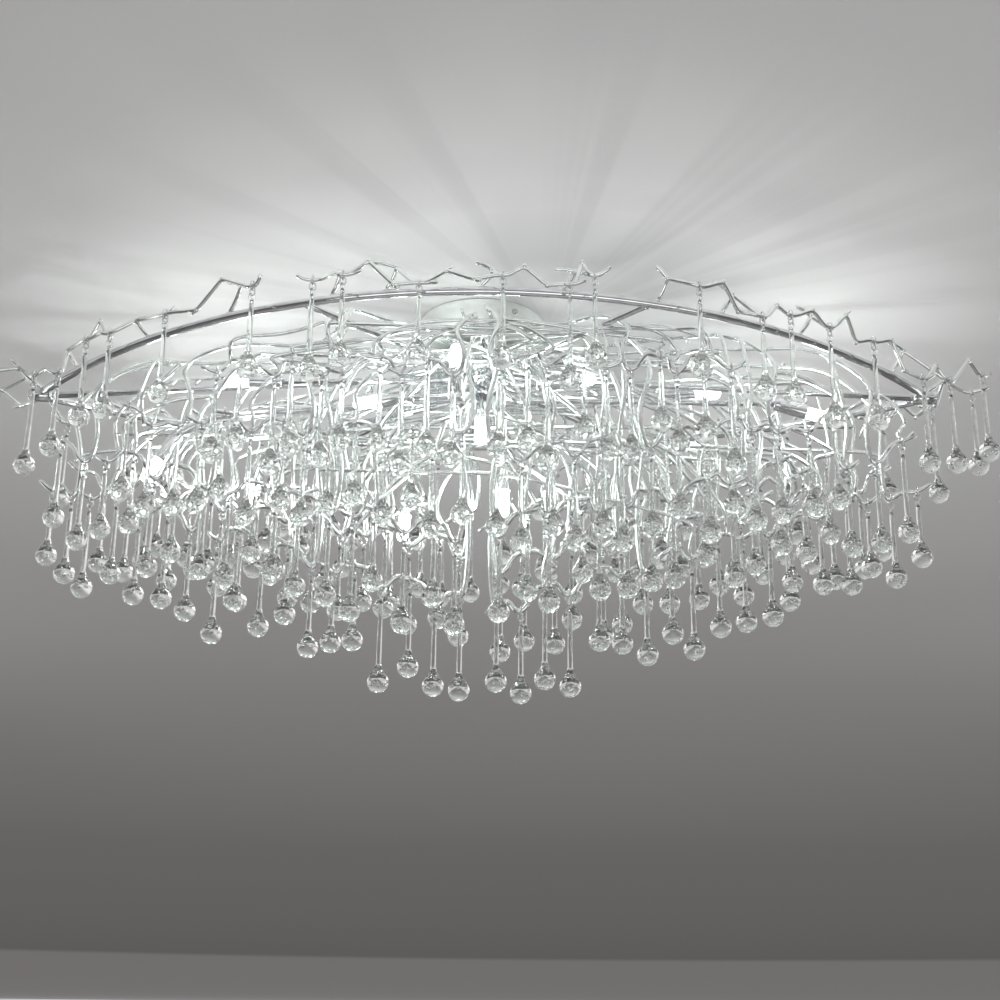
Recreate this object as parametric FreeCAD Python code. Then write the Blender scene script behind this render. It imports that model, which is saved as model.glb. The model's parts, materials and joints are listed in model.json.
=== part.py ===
import FreeCAD, Part
import math
import os

# Flush ceiling chandelier: a pointed oval hoop of bent tube hangs under a small
# round canopy, wire branches fan out from a hub in its middle, and solid glass
# drops hang from the branches on small chain links.
# Millimetres, +Z up. The origin is on the ceiling, at the centre of the canopy.
# X runs along the hoop and -Y is the front.

Vector = FreeCAD.Vector
UP = Vector(0, 0, 1)

# Hoop
HOOP_LENGTH = 1080.0
HOOP_WIDTH = 462.0
TIP_DROP = 95.0
ARCH_RISE = 25.0
RAIL_D = 10.0
RAIL_SIDES = 6
RAIL_END_GAP = 9.0
WELD_BITE = 2.0

# Canopy and what is inside it
CANOPY_D = 150.0
CANOPY_H = 30.0
CANOPY_WALL = 1.5
CANOPY_EDGE = 4.0
ROUND_SIDES = 20
PLATE_T = 2.0
PLATE_GAP = 0.5
TAB_W = 16.0
TAB_H = 20.0
TAB_INSET = 1.0
SLOT_SPACING = 88.0
SLOT_L = 18.0
SLOT_W = 5.5
WIRE_HOLE_D = 22.0
SCREW_D = 4.0
SCREW_PLAY = 0.5
SCREW_HEAD_D = 8.0
SCREW_HEAD_H = 3.0
SCREW_L = 9.0
SCREW_COUNT = 2
SCREW_TURN = -57.0
BLOCK_SIZE = (34.0, 18.0, 12.0)
BLOCK_OFFSET = 34.0
WELL_D = 4.5
WELL_DEPTH = 5.0

# Stem and hub
STEM_D = 20.0
STEM_WALL = 1.5
HUB_D = 60.0
HUB_H = 26.0
HUB_CHAMFER = 3.0
HUB_SIDES = 12
HUB_RISE = 10.4
FERRULE_D = 27.0
FERRULE_H = 8.0
FERRULE_TAPER = 2.0

# Straight tubes between the hub and the hoop
TUBE_START = 24.0
SPINE_D = 8.0
STRUT_D = 8.0
STRUT_X = 190.0
COLLAR_D = 16.0
COLLAR_L = 30.0
COLLAR_INSIDE = 19.0
COLLAR_CHAMFER = 2.0
SPINE_IN_COLLAR = 2.0

# Glass drop
DROP_LENGTH = 100.0
BALL_D = 25.0
BALL_FOOT_D = 7.5
BALL_ROWS = (-37, 14)
STEM_TOP_D = 4.8
STEM_LOW_D = 6.4
FLARE_START = 28.0
EYE_SPAN = 7.0
EYE_WIRE_D = 2.6
DROP_SIDES = 5

# Chain links
TOP_LINK_SPAN = 11.0
TOP_LINK_WIDTH = 0.62
LINK_SPAN = 9.0
LINK_WIDTH = 0.42
LINK_WIRE_D = 1.6
LINK_PLAY = 0.4

# Branches and twigs
WIRE_D = 4.4
WIRE_SIDES = 4
HOOK_STRAIGHT = 12.0
KNEE_RISE = 5.0
TWIG_FOOT = 16.0
TWIG_BEND_RISE = 12.0
TWIG_BEND_OUT = 6.0
FAR_BRANCH = 100.0
FAR_LEVEL = 16.0
FAR_ROOT_INSET = 7.8
FAR_LIFT = 13.0
FAR_SHOULDER = 0.93
FAR_SHOULDER_FALL = 6.0
NEAR_LEVEL = -2.0
NEAR_ROOT_INSET = 3.0
NEAR_SHOULDER = 0.8
ROOT_SINK = 2.6
FALL_STEPS = ((-6.0, 0.0, 1.0), (7.0, 0.35, 1.0), (-4.0, 0.72, 0.4))
SPINE_BYPASS = 13.0

# Where the drops hang
LANE_PITCH = 58.0
LANES_EACH_SIDE = 3
LANE_TAPER = 0.8
LANE_LIFTS = (6.0, -9.0, 8.0, -4.0, -10.0, 7.0, -8.0)
HOOK_PITCH = 145.0
FIRST_HOOK = 50.0
STAGGER = -25.0
LOWEST_HOOK_DROP = 305.0
TIP_HOOK_DROP = 137.0
SIDE_HOOK_DROP = 34.0
RIM_HOOK_RISE = 10.0
RIM_END_FALL = 16.0
RIM_END_Y = 25.0
RIM_OFFSET = 18.0
RIM_MIDDLE_HALF = 175.0
RIM_MIDDLE_SHARES = (-0.81, 0.17, 0.73)
RIM_SIDE_START = 215.0
RIM_SIDE_TOUCH = 365.0
RIM_OVERHANG = 60.0
RIM_SIDE_SHARES = (0.07, 0.35, 0.62, 1.0)
LANE_TO_RIM = 48.0

# Lamps
HOLDER_D = 17.0
HOLDER_L = 40.0
HOLDER_WALL = 1.2
HOLDER_BASE = 4.0
SOCKET_L = 16.0
SOCKET_PLAY = 0.7
BULB_D = 14.0
BULB_L = 52.0
BULB_TIP_D = 5.6
LAMP_ARM_D = 8.0
LAMP_SIDES = 6

# Worked out from the driving sizes
RAIL_R = RAIL_D / 2
HALF_LENGTH = HOOP_LENGTH / 2
HALF_WIDTH = HOOP_WIDTH / 2
RAIL_RISE = math.hypot(HALF_WIDTH, ARCH_RISE)
RAIL_BEND = (HALF_LENGTH ** 2 + RAIL_RISE ** 2) / (2 * RAIL_RISE)
MIDDLE_Z = ARCH_RISE - TIP_DROP
CANOPY_R = CANOPY_D / 2
HUB_TOP = MIDDLE_Z + HUB_RISE
HUB_BOTTOM = HUB_TOP - HUB_H
RIM_HOOK_Z = MIDDLE_Z + RIM_HOOK_RISE
LOWEST_HOOK_Z = MIDDLE_Z - LOWEST_HOOK_DROP
TIP_HOOK_Z = MIDDLE_Z - TIP_HOOK_DROP
SIDE_HOOK_Z = MIDDLE_Z - SIDE_HOOK_DROP
RIM_SLOPE = RIM_SIDE_TOUCH / math.sqrt(RAIL_BEND ** 2 - RIM_SIDE_TOUCH ** 2)


def polygon(sides, radius, turn=0.0):
    """Corner points of a regular polygon in the XY plane."""
    step = 2 * math.pi / sides
    return [
        Vector(radius * math.cos(turn + k * step), radius * math.sin(turn + k * step), 0)
        for k in range(sides)
    ]


def flat_face(points):
    return Part.Face(Part.makePolygon(points + [points[0]]))


def faceted(profile, sides, turn=0.0):
    """A solid of flat faces through regular polygons, from (radius, z) rows, lowest first."""
    rows = [[p + UP * z for p in polygon(sides, radius, turn)] for radius, z in profile]
    faces = [flat_face(rows[0][::-1]), flat_face(rows[-1])]
    for low, high in zip(rows, rows[1:]):
        for k in range(sides):
            n = (k + 1) % sides
            faces.append(flat_face([low[k], low[n], high[n], high[k]]))
    return Part.Solid(Part.Shell(faces))


def bar(points, diameter, sides, closed=False):
    """A bar of even thickness along straight runs, mitred at each corner."""
    first, second = points[0], points[1]
    corners = polygon(sides, diameter / 2, math.pi / sides)
    section = Part.makePolygon(corners + [corners[0]])
    section.Placement = FreeCAD.Placement(first, FreeCAD.Rotation(UP, second - first))
    path = Part.makePolygon(points + [first] if closed else points)
    return path.makePipeShell([section], True, False, 1)


def straight_tube(start, end, diameter):
    return bar([start, end], diameter, 6)


def along(direction, position):
    """A placement that turns +Z to a direction and moves the origin to a position."""
    return FreeCAD.Placement(position, FreeCAD.Rotation(UP, direction))


def placed(shape, position, turn_z=0.0):
    copy = shape.copy()
    copy.Placement = FreeCAD.Placement(position, FreeCAD.Rotation(UP, turn_z))
    return copy


# The hoop's two rails are arcs, each in its own plane through both tips
def rail_offset(x):
    """How far a rail stands off the line between the tips, in its own plane."""
    return math.sqrt(RAIL_BEND ** 2 - x ** 2) - (RAIL_BEND - RAIL_RISE)


def rail_point(x, side):
    share = rail_offset(x) / RAIL_RISE
    return Vector(x, side * HALF_WIDTH * share, -TIP_DROP + ARCH_RISE * share)


def make_rail(side):
    end = HALF_LENGTH - RAIL_END_GAP
    across = Vector(0, side * HALF_WIDTH, ARCH_RISE).normalize()
    centre = Vector(0, 0, -TIP_DROP) - across * (RAIL_BEND - RAIL_RISE)
    axis = across.cross(Vector(1, 0, 0))
    start = rail_point(-end, side)
    outward = (start - centre).normalize()
    corners = polygon(RAIL_SIDES, RAIL_R, math.pi / RAIL_SIDES)
    section = flat_face([start + outward * p.x + axis * p.y for p in corners])
    return section.revolve(centre, axis, 2 * math.degrees(math.asin(end / RAIL_BEND)))


def make_collar(sign):
    r = COLLAR_D / 2
    c = COLLAR_CHAMFER
    collar = faceted([(r - c, 0), (r, c), (r, COLLAR_L - c), (r - c, COLLAR_L)], 8, math.pi / 8)
    start = Vector(sign * (HALF_LENGTH - COLLAR_INSIDE), 0, -TIP_DROP)
    collar.Placement = along(Vector(sign, 0, 0), start)
    return collar


def make_spine(sign):
    start = Vector(sign * TUBE_START, 0, MIDDLE_Z)
    end = Vector(sign * (HALF_LENGTH - COLLAR_INSIDE + SPINE_IN_COLLAR), 0, -TIP_DROP)
    return straight_tube(start, end, SPINE_D)


def make_strut(sign, side):
    target = rail_point(STRUT_X, side)
    target.x *= sign
    start = Vector(target.x, target.y, 0).normalize() * TUBE_START + UP * MIDDLE_Z
    run = (target - start).normalize()
    return straight_tube(start, target - run * (RAIL_R - WELD_BITE), STRUT_D)


# Canopy, plate and stem
def screw_way(number):
    turn = SCREW_TURN + 360 * number / SCREW_COUNT
    return FreeCAD.Rotation(UP, turn).multVec(Vector(1, 0, 0))


def screw_z():
    return -PLATE_T - TAB_H / 2


def hole_tool(diameter, start, direction, depth, sides=8):
    tool = faceted([(diameter / 2, 0), (diameter / 2, depth)], sides)
    tool.Placement = along(direction, start)
    return tool


def make_canopy():
    top = -PLATE_GAP
    inner = CANOPY_R - CANOPY_WALL
    floor = -CANOPY_H + CANOPY_WALL
    shell = faceted([
        (CANOPY_R - CANOPY_EDGE, -CANOPY_H),
        (CANOPY_R, -CANOPY_H + CANOPY_EDGE),
        (CANOPY_R, top),
    ], ROUND_SIDES)
    hollow = faceted([
        (inner - CANOPY_EDGE, floor),
        (inner, floor + CANOPY_EDGE),
        (inner, top + 1),
    ], ROUND_SIDES)
    shell = shell.cut(hollow)
    wires = hole_tool(STEM_D - 2 * STEM_WALL, Vector(0, 0, -CANOPY_H - 1), UP, 3 * CANOPY_WALL, 12)
    shell = shell.cut(wires)
    for number in range(SCREW_COUNT):
        way = screw_way(number)
        start = way * (inner - CANOPY_WALL) + UP * screw_z()
        shell = shell.cut(hole_tool(SCREW_D + SCREW_PLAY, start, way, 3 * CANOPY_WALL))
    return shell


def make_plate():
    radius = CANOPY_R - CANOPY_WALL - 2 * PLATE_GAP
    plate = faceted([(radius, -PLATE_T), (radius, 0)], ROUND_SIDES)
    for number in range(SCREW_COUNT):
        way = screw_way(number)
        tab = Part.makeBox(PLATE_T, TAB_W, TAB_H + PLATE_T / 2)
        tab.translate(Vector(radius - PLATE_T - TAB_INSET, -TAB_W / 2, -PLATE_T - TAB_H))
        tab.rotate(Vector(0, 0, 0), UP, SCREW_TURN + 360 * number / SCREW_COUNT)
        plate = plate.fuse(tab)
        start = way * (radius - 3 * PLATE_T) + UP * screw_z()
        plate = plate.cut(hole_tool(SCREW_D, start, way, 4 * PLATE_T))
    plate = plate.cut(hole_tool(WIRE_HOLE_D, Vector(0, 0, -2 * PLATE_T), UP, 3 * PLATE_T, 12))
    for sign in (-1, 1):
        plate = plate.cut(slot(sign * SLOT_SPACING / 2))
    return plate.removeSplitter()


def slot(x):
    """A slot along X, centred at x, right through the plate."""
    r = SLOT_W / 2
    run = SLOT_L / 2 - r
    tool = Part.makeBox(2 * run, SLOT_W, 3 * PLATE_T, Vector(x - run, -r, -2 * PLATE_T))
    for end in (x - run, x + run):
        tool = tool.fuse(Part.makeCylinder(r, 3 * PLATE_T, Vector(end, 0, -2 * PLATE_T)))
    return tool.removeSplitter()


def make_screw(number):
    r = SCREW_D / 2
    head_r = SCREW_HEAD_D / 2
    screw = faceted([
        (r, -SCREW_L),
        (r, 0),
        (head_r, 0),
        (head_r, SCREW_HEAD_H * 0.6),
        (head_r * 0.6, SCREW_HEAD_H),
    ], 8)
    way = screw_way(number)
    screw.Placement = along(way, way * CANOPY_R + UP * screw_z())
    return screw


def make_block():
    length, depth, height = BLOCK_SIZE
    start = Vector(-length / 2, BLOCK_OFFSET - depth / 2, -PLATE_T - height)
    block = Part.makeBox(length, depth, height, start)
    for k in range(3):
        well = Vector((k - 1) * length / 3, BLOCK_OFFSET, start.z - 1)
        block = block.cut(hole_tool(WELL_D, well, UP, WELL_DEPTH + 1, 6))
    return block


def make_stem():
    """The tube under the canopy, with the turned ferrule at its foot."""
    outer = STEM_D / 2
    ferrule = FERRULE_D / 2
    stem = faceted([
        (ferrule, HUB_TOP),
        (ferrule - FERRULE_TAPER, HUB_TOP + FERRULE_H),
        (outer, HUB_TOP + FERRULE_H),
        (outer, -CANOPY_H),
    ], 12)
    bore = hole_tool(STEM_D - 2 * STEM_WALL, Vector(0, 0, HUB_TOP - 1), UP, CANOPY_H * 3, 12)
    return stem.cut(bore)


def make_hub():
    r = HUB_D / 2
    c = HUB_CHAMFER
    profile = [(r - c, HUB_BOTTOM), (r, HUB_BOTTOM + c), (r, HUB_TOP - c), (r - c, HUB_TOP)]
    return faceted(profile, HUB_SIDES)


# Drop and links, drawn with the hook axis through the origin along X
WIRE_R = WIRE_D / 2
LINK_R = LINK_WIRE_D / 2
EYE_R = EYE_WIRE_D / 2
TOP_PEAK = math.hypot(1, 0.5 / TOP_LINK_WIDTH)
PEAK = math.hypot(1, 0.5 / LINK_WIDTH)
LINK1_TOP = (WIRE_R + LINK_R + LINK_PLAY) * TOP_PEAK
LINK1_LOW = LINK1_TOP - TOP_LINK_SPAN
LINK2_TOP = LINK1_LOW + (2 * LINK_R + LINK_PLAY) * TOP_PEAK
LINK2_LOW = LINK2_TOP - LINK_SPAN
EYE_TOP = LINK2_LOW + (LINK_R + EYE_R + LINK_PLAY) * PEAK
EYE_LOW = EYE_TOP - EYE_SPAN
DROP_TOP = EYE_TOP + EYE_R
DROP_LOW = DROP_TOP - DROP_LENGTH
BALL_Z = DROP_LOW + BALL_D / 2


def diamond(top, low, side_way, diameter, width):
    """A closed loop of wire with corners at its top, bottom and sides."""
    middle = (top + low) / 2
    half = (top - low) * width
    points = [UP * top, UP * middle + side_way * half, UP * low, UP * middle - side_way * half]
    return bar(points, diameter, 3, closed=True)


def make_drop():
    ball_r = BALL_D / 2
    turns = [math.radians(turn) for turn in BALL_ROWS]
    ball = [(ball_r * math.cos(turn), BALL_Z + ball_r * math.sin(turn)) for turn in turns]
    foot = (BALL_FOOT_D / 2, DROP_LOW)
    neck = (STEM_LOW_D / 2, BALL_Z + FLARE_START)
    top = (STEM_TOP_D / 2, EYE_LOW - EYE_R / 2)
    body = faceted([foot] + ball + [neck, top], DROP_SIDES, math.pi / 2)
    eye = diamond(EYE_TOP, EYE_LOW, Vector(0, 1, 0), EYE_WIRE_D, LINK_WIDTH)
    return body.fuse(eye)


def make_links():
    return [
        diamond(LINK1_TOP, LINK1_LOW, Vector(0, 1, 0), LINK_WIRE_D, TOP_LINK_WIDTH),
        diamond(LINK2_TOP, LINK2_LOW, Vector(1, 0, 0), LINK_WIRE_D, LINK_WIDTH),
    ]


# Each line of drops hangs on one straight hinge line
class Line:
    def __init__(self, name, start, way, hooks):
        self.name = name
        self.start = start
        self.way = way.normalize()
        self.hooks = hooks
        self.turn = math.degrees(math.atan2(way.y, way.x))

    def at(self, distance):
        return self.start + self.way * distance

    def points(self):
        return [self.at(d) for d in self.hooks]


def hook_count(length, first):
    return int((length - first) // HOOK_PITCH) + 1


def rim_y(x):
    """Distance from the middle line to the outer hook lines, beside the rail's arc."""
    touch = rail_point(RIM_SIDE_TOUCH, 1)
    turn = math.atan(RIM_SLOPE)
    x_touch = RIM_SIDE_TOUCH + RIM_OFFSET * math.sin(turn)
    y_touch = touch.y + RIM_OFFSET * math.cos(turn)
    return min(HALF_WIDTH + RIM_OFFSET, y_touch - RIM_SLOPE * (abs(x) - x_touch))


def rim_lines():
    lines = []
    far_x = HALF_LENGTH + RIM_OVERHANG
    for side, word in ((-1, "front"), (1, "back")):
        start = Vector(0, side * (HALF_WIDTH + RIM_OFFSET), RIM_HOOK_Z)
        hooks = [share * RIM_MIDDLE_HALF for share in RIM_MIDDLE_SHARES]
        lines.append(Line(word + "_middle", start, Vector(1, 0, 0), hooks))
        for sign, hand in ((-1, "left"), (1, "right")):
            start = Vector(sign * RIM_SIDE_START, side * rim_y(RIM_SIDE_START), RIM_HOOK_Z)
            end = Vector(sign * far_x, side * RIM_END_Y, RIM_HOOK_Z - RIM_END_FALL)
            run = end - start
            hooks = [share * run.Length for share in RIM_SIDE_SHARES]
            lines.append(Line(word + "_" + hand, start, run, hooks))
    return lines


def lane_end(y):
    """How far out a lane may run before it comes too near the outer line of hooks."""
    x = HALF_LENGTH
    while rim_y(x) - abs(y) * LANE_TAPER < LANE_TO_RIM:
        x -= 1.0
    return x


def lane_lines():
    """Inner lines: lowest over the middle, level at the sides, and closer together at the tips."""
    lines = []
    for lane in range(-LANES_EACH_SIDE, LANES_EACH_SIDE + 1):
        y = lane * LANE_PITCH
        share = abs(y) / HALF_WIDTH
        middle_z = LOWEST_HOOK_Z + (RIM_HOOK_Z - LOWEST_HOOK_Z) * share
        tip_z = TIP_HOOK_Z + (SIDE_HOOK_Z - TIP_HOOK_Z) * share
        lift = LANE_LIFTS[lane + LANES_EACH_SIDE]
        first = FIRST_HOOK + (STAGGER if lane % 2 else 0)
        xs = [first + k * HOOK_PITCH for k in range(hook_count(lane_end(y), first))]
        for sign, hand in ((-1, "left"), (1, "right")):
            start = Vector(0, y, middle_z + sign * lift)
            end = Vector(sign * HALF_LENGTH, y * LANE_TAPER, tip_z)
            way = (end - start).normalize()
            hooks = [x / abs(way.x) for x in xs]
            lines.append(Line("lane%d_%s" % (lane, hand), start, way, hooks))
    return lines


# Wires that carry the hooks
def along_hooks(line, hooks):
    """The crooked run of a twig through its hooks: straight at each hook, a knee between."""
    points = []
    for k, distance in enumerate(hooks):
        points.append(line.at(distance - HOOK_STRAIGHT))
        points.append(line.at(distance + HOOK_STRAIGHT))
        if k + 1 < len(hooks):
            middle = (distance + hooks[k + 1]) / 2
            points.append(line.at(middle) + UP * KNEE_RISE)
    return points


def pairs(hooks):
    return [hooks[k:k + 2] for k in range(0, len(hooks), 2)]


def weld_point(point, side):
    """The place on top of a rail nearest to a twig's foot."""
    limit = HALF_LENGTH - RAIL_END_GAP - RAIL_D
    x = max(-limit, min(limit, point.x))
    return rail_point(x, side) + UP * (RAIL_R - WELD_BITE)


def rim_twig(line, hooks):
    side = -1 if line.start.y < 0 else 1
    path = along_hooks(line, hooks)
    foot = weld_point(path[0] - line.way * TWIG_FOOT, side)
    bend = foot + Vector(0, side * TWIG_BEND_OUT, TWIG_BEND_RISE)
    return [foot, bend] + path


def fall_y(place):
    """Side position of a branch's way down; the middle lane's passes beside the spine arm."""
    if abs(place.y) > 1:
        return place.y
    return math.copysign(SPINE_BYPASS, place.x)


def way_down(line, start, level):
    """Zigzag points of a branch's fall, in steps of (along the line, fall share, side share)."""
    hand = math.copysign(1, line.way.x)
    y_fall = fall_y(start)
    points = []
    for sway, fallen, shift in FALL_STEPS:
        y = start.y + (y_fall - start.y) * shift
        points.append(Vector(start.x + hand * sway, y, level + (start.z - level) * fallen))
    return points


def branch(line, hooks, root_turn):
    """From the hub's rim up and out, over the struts, then down to the line of hooks."""
    path = along_hooks(line, hooks)
    out = Vector(math.cos(root_turn), math.sin(root_turn), 0)
    root = out * HUB_D / 2 + UP * (HUB_TOP - ROOT_SINK)
    top = way_down(line, path[0], root.z)[0]
    if math.hypot(top.x, top.y) < FAR_BRANCH:
        root -= out * NEAR_ROOT_INSET
        level = HUB_TOP + NEAR_LEVEL
        shoulder = root + (top - root) * NEAR_SHOULDER
        shoulder.z = level
        points = [root, shoulder]
    else:
        lift = root - out * ROOT_SINK + UP * FAR_LIFT
        root -= out * FAR_ROOT_INSET
        level = HUB_TOP + FAR_LEVEL
        crest = (lift + top) / 2
        crest.z = level
        shoulder = root + (top - root) * FAR_SHOULDER
        shoulder.z = level - FAR_SHOULDER_FALL
        points = [root, lift, crest, shoulder]
    return points + way_down(line, path[0], level)[1:] + path


def lane_branches(lines):
    """Branch paths for all inner lines, with their roots evenly round the hub."""
    jobs = []
    for line in lines:
        for hooks in pairs(line.hooks):
            target = line.at(hooks[0])
            jobs.append((math.atan2(fall_y(target), target.x), line, hooks))
    jobs.sort(key=lambda job: job[0])
    step = 2 * math.pi / len(jobs)
    return [
        (line, branch(line, hooks, -math.pi + (k + 0.5) * step))
        for k, (_, line, hooks) in enumerate(jobs)
    ]


# Lamps: the arm's root on the hub, its bends, the closed end of the holder, and the
# bulb's direction. A root is a turn round the hub's side in degrees, or an x, y place
# on its underside. Heights are from the hub's underside.
LAMPS = [
    (None, [], (0, 0, 0), (0, 0, -1)),
    (258, [(-6, -60, -26), (-19, -83, -57)], (-27, -85, -51), (0, 0, 1)),
    (231, [(-36, -27, 0)], (-238, -25, -2), (-1, 0, 0.02)),
    ((-4, -12), [(-8, -24, -18), (-50, -30, -22)], (-80, -30, -22), (-1, -0.1, -0.2)),
    (309, [(36, -27, -1)], (66, -25, -4), (1, 0, 0.1)),
    (51, [(36, 27, 0)], (222, 25, 0), (1, 0, 0.1)),
    (285, [(40, -34, -28), (200, -30, -28)], (350, -25, -28), (1, 0, -0.3)),
    (129, [(-36, 27, -2), (-330, 25, -26)], (-370, 25, -50), (-0.5, 0, -0.8)),
    (105, [(-60, 38, -8), (-200, 80, -22)], (-272, 80, -54), (-0.25, 0, -0.9)),
    ((8, 14), [(28, 33, -26)], (28, 33, -80), (0, 0, -1)),
    ((5, 11), [(-20, 46, -30), (-86, 82, -64)], (-90, 82, -96), (-0.1, 0, -0.95)),
]


def make_lamp(base, direction):
    """Holder tube, ceramic socket and bulb, drawn along +Z from the holder's closed end."""
    r = HOLDER_D / 2
    inner = r - HOLDER_WALL
    cup = faceted([(r, 0), (r, HOLDER_L)], LAMP_SIDES)
    cup = cup.cut(faceted([(inner, HOLDER_BASE), (inner, HOLDER_L + 1)], LAMP_SIDES))
    seat = HOLDER_BASE + SOCKET_L
    socket_r = inner - SOCKET_PLAY
    socket = faceted([(socket_r, HOLDER_BASE), (socket_r, seat)], LAMP_SIDES)
    bulb_r = BULB_D / 2
    tip = seat + BULB_L
    bulb = faceted([(bulb_r, seat), (bulb_r, tip - bulb_r), (BULB_TIP_D / 2, tip)], LAMP_SIDES)
    place = along(Vector(*direction), under_hub(base))
    for piece in (cup, socket, bulb):
        piece.Placement = place
    return cup, socket, bulb


def under_hub(place):
    return Vector(*place) + UP * HUB_BOTTOM


def arm_root(root):
    if isinstance(root, tuple):
        return under_hub(root + (HUB_CHAMFER,))
    out = FreeCAD.Rotation(UP, root).multVec(Vector(1, 0, 0))
    return under_hub((0, 0, HUB_CHAMFER / 2)) + out * (HUB_D / 2 - LAMP_ARM_D / 2)


def make_arm(root, bends, base):
    path = [arm_root(root)] + [under_hub(place) for place in bends + [base]]
    return bar(path, LAMP_ARM_D, LAMP_SIDES)


# Build
nodes = {}


def add(name, solids):
    nodes.setdefault(name, []).extend(solids)


add("mounting_plate", [make_plate()])
add("canopy", [make_canopy()])
add("canopy_screws", [make_screw(k) for k in range(SCREW_COUNT)])
add("terminal_block", [make_block()])
add("stem", [make_stem()])
add("hub", [make_hub()])
add("front_rail", [make_rail(-1)])
add("back_rail", [make_rail(1)])
add("tip_collars", [make_collar(s) for s in (-1, 1)])
add("spine_arms", [make_spine(s) for s in (-1, 1)])
add("struts", [make_strut(s, f) for s in (-1, 1) for f in (-1, 1)])

rim = rim_lines()
lanes = lane_lines()
for line in rim:
    word = "front" if line.start.y < 0 else "back"
    for hooks in pairs(line.hooks):
        add(word + "_rim_twigs", [bar(rim_twig(line, hooks), WIRE_D, WIRE_SIDES)])
for line, path in lane_branches(lanes):
    word = "front" if line.start.y < -1 else "back" if line.start.y > 1 else "middle"
    add(word + "_branches", [bar(path, WIRE_D, WIRE_SIDES)])

for root, bends, base, direction in LAMPS:
    cup, socket, bulb = make_lamp(base, direction)
    add("lamp_holders", [cup])
    add("lamp_sockets", [socket])
    add("bulbs", [bulb])
    if root is not None:
        add("lamp_arms", [make_arm(root, bends, base)])

drop = make_drop()
links = make_links()
for number, line in enumerate(rim + lanes, 1):
    for point in line.points():
        add("drops_%02d" % number, [placed(drop, point, line.turn)])
        add("links_%02d" % number, [placed(link, point, line.turn) for link in links])

os.makedirs("parts", exist_ok=True)
for name, solids in nodes.items():
    shape = solids[0] if len(solids) == 1 else Part.makeCompound(solids)
    shape.exportStep("parts/" + name + ".step")
print(len(nodes), "nodes", sum(len(s) for s in nodes.values()), "solids")
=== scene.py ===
import json
import random
from math import atan2, copysign, cos, hypot, pi, radians, sin, sqrt

import bmesh
import bpy
from mathutils import Matrix, Vector


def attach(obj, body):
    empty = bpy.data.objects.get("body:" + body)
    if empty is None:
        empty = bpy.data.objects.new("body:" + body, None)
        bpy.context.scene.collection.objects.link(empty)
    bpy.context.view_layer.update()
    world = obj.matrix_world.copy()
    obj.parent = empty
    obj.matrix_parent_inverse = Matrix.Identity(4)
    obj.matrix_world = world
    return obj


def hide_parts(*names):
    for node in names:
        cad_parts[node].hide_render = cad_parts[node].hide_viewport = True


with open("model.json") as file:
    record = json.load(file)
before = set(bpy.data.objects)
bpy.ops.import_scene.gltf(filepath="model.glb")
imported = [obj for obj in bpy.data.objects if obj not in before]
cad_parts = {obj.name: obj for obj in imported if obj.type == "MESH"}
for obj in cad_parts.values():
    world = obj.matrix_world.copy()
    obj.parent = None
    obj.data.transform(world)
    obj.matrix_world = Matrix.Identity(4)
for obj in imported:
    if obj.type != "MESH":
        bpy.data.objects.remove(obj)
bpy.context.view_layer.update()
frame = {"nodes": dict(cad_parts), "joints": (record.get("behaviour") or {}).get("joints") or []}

# Crystal chandelier. Metres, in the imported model's frame: the origin is on the ceiling at
# the centre of the canopy, X runs along the hoop and -Y is the front, which the photo shows.

UP = Vector((0, 0, 1))
NODES = frame["nodes"]

# Camera, fitted to the photo: place, yaw, pitch and roll in degrees, lens in millimetres
CAMERA_PLACE = (0.056, -1.744, -0.842)
CAMERA_TURNS = (-1.04, 19.4, 0.59)
CAMERA_LENS = 56.2
CAMERA_SENSOR = 36

# Wires and tubes
RAIL_R = 0.005
SPINE_R = 0.004
STRUT_R = 0.004
LAMP_ARM_R = 0.004
TWIG_R = 0.0024
BRANCH_R = 0.0029
BRANCH_TIP_R = 0.0023
SPUR_R = 0.0021
HANGER_R = 0.0025

# Drop, from its ring of glass down
DROP_LENGTH = 0.100
BALL_R = 0.0125
BALL_Z = BALL_R - DROP_LENGTH
STEM_TOP_R = 0.0027
STEM_LOW_R = 0.0031
BALL_TOP_TURN = 40
FLARE = 0.023
FLARE_EASE = 1.84
EYE_RING_R = 0.0034
EYE_WIRE_R = 0.0013
EYE_LOW = -2 * EYE_RING_R - 2 * EYE_WIRE_R
BUBBLES = 58
BUBBLE_SIZE = (0.0005, 0.0014)
DROP_SIDES = 24
DROP_KINDS = 5
SWING = radians(9)

# Chain links
RING_WIRE_R = 0.00085
RING_LONG = 0.0110
RING_WIDE = 0.0084
LOW_RING_LONG = 0.0090
LOW_RING_WIDE = 0.0066


# Helpers
def mix(a, b, share):
    return a + (b - a) * share


def clamped(value, low, high):
    return min(max(value, low), high)


def polar(radius, turn, z=0.0):
    """The place at a radius and a turn round the Z axis."""
    return Vector((radius * cos(turn), radius * sin(turn), z))


def add_object(name, data, place=(0, 0, 0)):
    made = bpy.data.objects.new(name, data)
    made.location = place
    bpy.context.collection.objects.link(made)
    return made


def add_mesh(name, verts, faces, place=(0, 0, 0)):
    mesh = bpy.data.meshes.new(name)
    mesh.from_pydata([tuple(v) for v in verts], [], faces)
    return add_object(name, mesh, place)


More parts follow.
